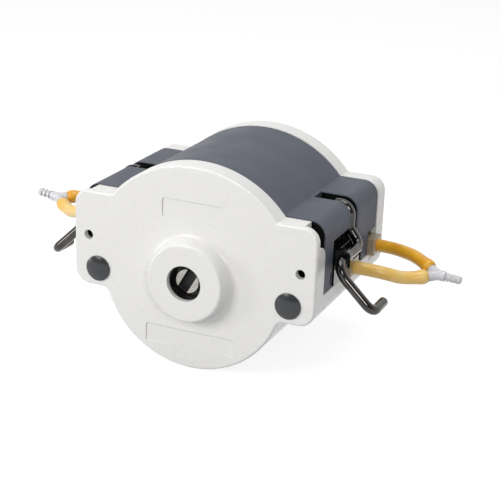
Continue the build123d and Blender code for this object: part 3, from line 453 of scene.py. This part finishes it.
def hose_skins(channel):
    """Points of the outer and of the inner skin, ring after ring, flat where the rollers squeeze."""
    controls, span = tube_route(channel)
    points = smooth_line(controls)
    count = len(points)
    along = [0.0]
    for before, after in zip(points, points[1:]):
        along.append(along[-1] + (after - before).length)
    tangents = [(points[min(i + 1, count - 1)] - points[max(i - 1, 0)]).normalized() for i in range(count)]
    top = max(range(count), key=lambda i: points[i].z)
    sides = side_directions(tangents, top)
    outer, inner = [], []
    for i in range(count):
        beyond = abs(along[i] - along[top]) - span
        share = min(1.0, max(0.0, beyond / FLATTEN_LENGTH)) ** 2
        from_end = min(along[i], along[-1] - along[i])
        more = swelling(points[i].x, from_end) * share
        wide = SQUEEZED_HALF_WIDTH + share * (TUBE_RADIUS - SQUEEZED_HALF_WIDTH) + more
        high = SQUEEZED_HALF_HEIGHT + share * (TUBE_RADIUS - SQUEEZED_HALF_HEIGHT) + more
        wall = min(TUBE_WALL, high - SQUEEZED_SLIT)
        normal = tangents[i].cross(sides[i])
        for ring, less in ((outer, 0.0), (inner, wall)):
            for k in range(RING_SIDES):
                turn = 2 * math.pi * k / RING_SIDES
                ring.append(points[i] + (wide - less) * math.cos(turn) * sides[i]
                            + (high - less) * math.sin(turn) * normal)
    return outer, inner


def hose_faces(skin_points):
    """Faces of both skins, each with this many points, and of the rims that join them."""
    faces = []
    last = skin_points - RING_SIDES
    for start in range(0, last, RING_SIDES):
        for k in range(RING_SIDES):
            a, b = start + k, start + (k + 1) % RING_SIDES
            c, d = b + RING_SIDES, a + RING_SIDES
            faces.append((a, b, c, d))
            faces.append(tuple(skin_points + v for v in (d, c, b, a)))
    for k in range(RING_SIDES):
        j = (k + 1) % RING_SIDES
        faces.append((j, k, skin_points + k, skin_points + j))
        faces.append((last + k, last + j, skin_points + last + j, skin_points + last + k))
    return faces


def hose(name, channel, material):
    """A hollow, soft looking tube in place of the part's plain one."""
    outer, inner = hose_skins(channel)
    mesh = bpy.data.meshes.new(name)
    mesh.from_pydata(outer + inner, [], hose_faces(len(outer)))
    mesh.update()
    piece = bpy.data.objects.new(name, mesh)
    bpy.context.scene.collection.objects.link(piece)
    bpy.ops.object.select_all(action="DESELECT")
    piece.select_set(True)
    bpy.context.view_layer.objects.active = piece
    bpy.ops.object.mode_set(mode="EDIT")
    bpy.ops.mesh.select_all(action="SELECT")
    bpy.ops.mesh.normals_make_consistent(inside=False)
    bpy.ops.object.mode_set(mode="OBJECT")
    bpy.ops.object.shade_smooth()
    mesh.materials.append(material)
    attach(piece, "head")
    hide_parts(f"pump_tube_{channel}")


hose("pump_tube_front_hose", "front", tube_painted_lit)
hose("pump_tube_rear_hose", "rear", tube_painted_shade)

# ---------------------------------------------------------------- floor and room
ROOM_LIGHT, BACKDROP_LIGHT = 0.22, 0.5
FLOOR_SIZE, FLOOR_GAP, FLOOR_GLOW = 12.0, 0.2 * MM, 0.82


def light_rays(tree):
    """Masks for rays from the camera, from glossy surfaces and through clear ones."""
    rays = tree.nodes.new("ShaderNodeLightPath")
    return [Value(tree, rays.outputs[f"Is {kind} Ray"]) for kind in ("Camera", "Glossy", "Transmission")]


def pale_floor():
    """A floor that looks near white, also in reflections, and lights the part from below as grey."""
    floor_z = min(housing_low.z, rear_low.z) - FLOOR_GAP
    bpy.ops.mesh.primitive_plane_add(size=FLOOR_SIZE, location=(0, 0, floor_z))
    floor = bpy.context.object
    floor.name = "floor"
    s = Surface("floor")
    camera_ray, glossy_ray, clear_ray = light_rays(s.tree)
    seen = camera_ray.maths("MAXIMUM", glossy_ray).maths("MAXIMUM", clear_ray)
    floor.data.materials.append(s.finish(
        Base_Color=seen.blend((0.40, 0.40, 0.42), (0.34, 0.34, 0.34)),
        Roughness=s.noise(3, detail=2).ramp(0.3, 0.7, 0.85, 0.95),
        Emission_Color=seen.blend((0.0, 0.0, 0.0), (1.0, 1.0, 1.0)), Emission_Strength=FLOOR_GLOW,
        Specular_IOR_Level=0.0))


def studio_world():
    """A room that is dim in front, brighter behind, and white to the camera."""
    world = bpy.data.worlds.new("studio")
    bpy.context.scene.world = world
    world.use_nodes = True
    tree = world.node_tree
    tree.nodes.clear()
    camera_ray, glossy_ray, clear_ray = light_rays(tree)
    aim = tree.nodes.new("ShaderNodeTexCoord")
    axes = tree.nodes.new("ShaderNodeSeparateXYZ")
    tree.links.new(aim.outputs["Generated"], axes.inputs[0])
    behind = Value(tree, axes.outputs[1]).ramp(-0.1, 0.5)
    lit = behind * (BACKDROP_LIGHT - ROOM_LIGHT) + ROOM_LIGHT
    mirrored = behind * (1.0 - ROOM_LIGHT) + ROOM_LIGHT
    shiny = glossy_ray.maths("MAXIMUM", clear_ray)
    strength = (1 - shiny) * lit + shiny * mirrored
    strength = (1 - camera_ray) * strength + camera_ray
    backdrop = tree.nodes.new("ShaderNodeBackground")
    backdrop.inputs["Color"].default_value = (1, 1, 1, 1)
    tree.links.new(strength.socket, backdrop.inputs["Strength"])
    out = tree.nodes.new("ShaderNodeOutputWorld")
    tree.links.new(backdrop.outputs[0], out.inputs[0])


pale_floor()
studio_world()

# ---------------------------------------------------------------- lights
LIGHT_AIM = (0.0, -0.06, 0.0)
WARM_WHITE = (1.0, 0.995, 0.98)


def softbox(name, place, size, power, tint=(1, 1, 1)):
    """A rectangular light at place that faces the part."""
    light = bpy.data.lights.new(name, "AREA")
    light.shape = "RECTANGLE"
    light.size, light.size_y = size
    light.energy = power
    light.color = tint
    lamp = bpy.data.objects.new(name, light)
    bpy.context.scene.collection.objects.link(lamp)
    lamp.location = place
    lamp.rotation_euler = (Vector(LIGHT_AIM) - Vector(place)).to_track_quat("-Z", "Y").to_euler()


softbox("key_left", (-0.55, -1.05, 0.55), size=(0.5, 0.5), power=7.0, tint=WARM_WHITE)
softbox("top", (0.1, -0.1, 1.1), size=(0.7, 0.7), power=5)
softbox("left_card", (-0.95, -0.6, 0.12), size=(0.25, 0.5), power=2.8)
softbox("right_card", (0.62, -0.95, 0.48), size=(0.3, 0.35), power=3.0)

# ---------------------------------------------------------------- camera
CAMERA_AZIMUTH, CAMERA_ELEVATION, CAMERA_ROLL = (math.radians(a) for a in (24.28, 20.31, 1.77))
CAMERA_DISTANCE = 0.7879
CAMERA_TARGET = Vector((0.02381, front_face_y, 0.02228))
sin_turn, cos_turn = math.sin(CAMERA_AZIMUTH), math.cos(CAMERA_AZIMUTH)
sin_rise, cos_rise = math.sin(CAMERA_ELEVATION), math.cos(CAMERA_ELEVATION)
back = Vector((sin_turn * cos_rise, -cos_turn * cos_rise, sin_rise))
right = Vector((cos_turn, sin_turn, 0))
up = back.cross(right)
right, up = (math.cos(CAMERA_ROLL) * right + math.sin(CAMERA_ROLL) * up,
             math.cos(CAMERA_ROLL) * up - math.sin(CAMERA_ROLL) * right)
lens = bpy.data.cameras.new("camera")
lens.lens, lens.sensor_width = 97.84, 36.0
lens.shift_x, lens.shift_y = 0.0439, 0.0012
lens.clip_end = 20
camera = bpy.data.objects.new("camera", lens)
bpy.context.scene.collection.objects.link(camera)
camera.matrix_world = Matrix.Translation(CAMERA_TARGET + CAMERA_DISTANCE * back) @ Matrix(
    (right, up, back)).transposed().to_4x4()
bpy.context.scene.camera = camera
bpy.context.scene.view_settings.view_transform = "Standard"
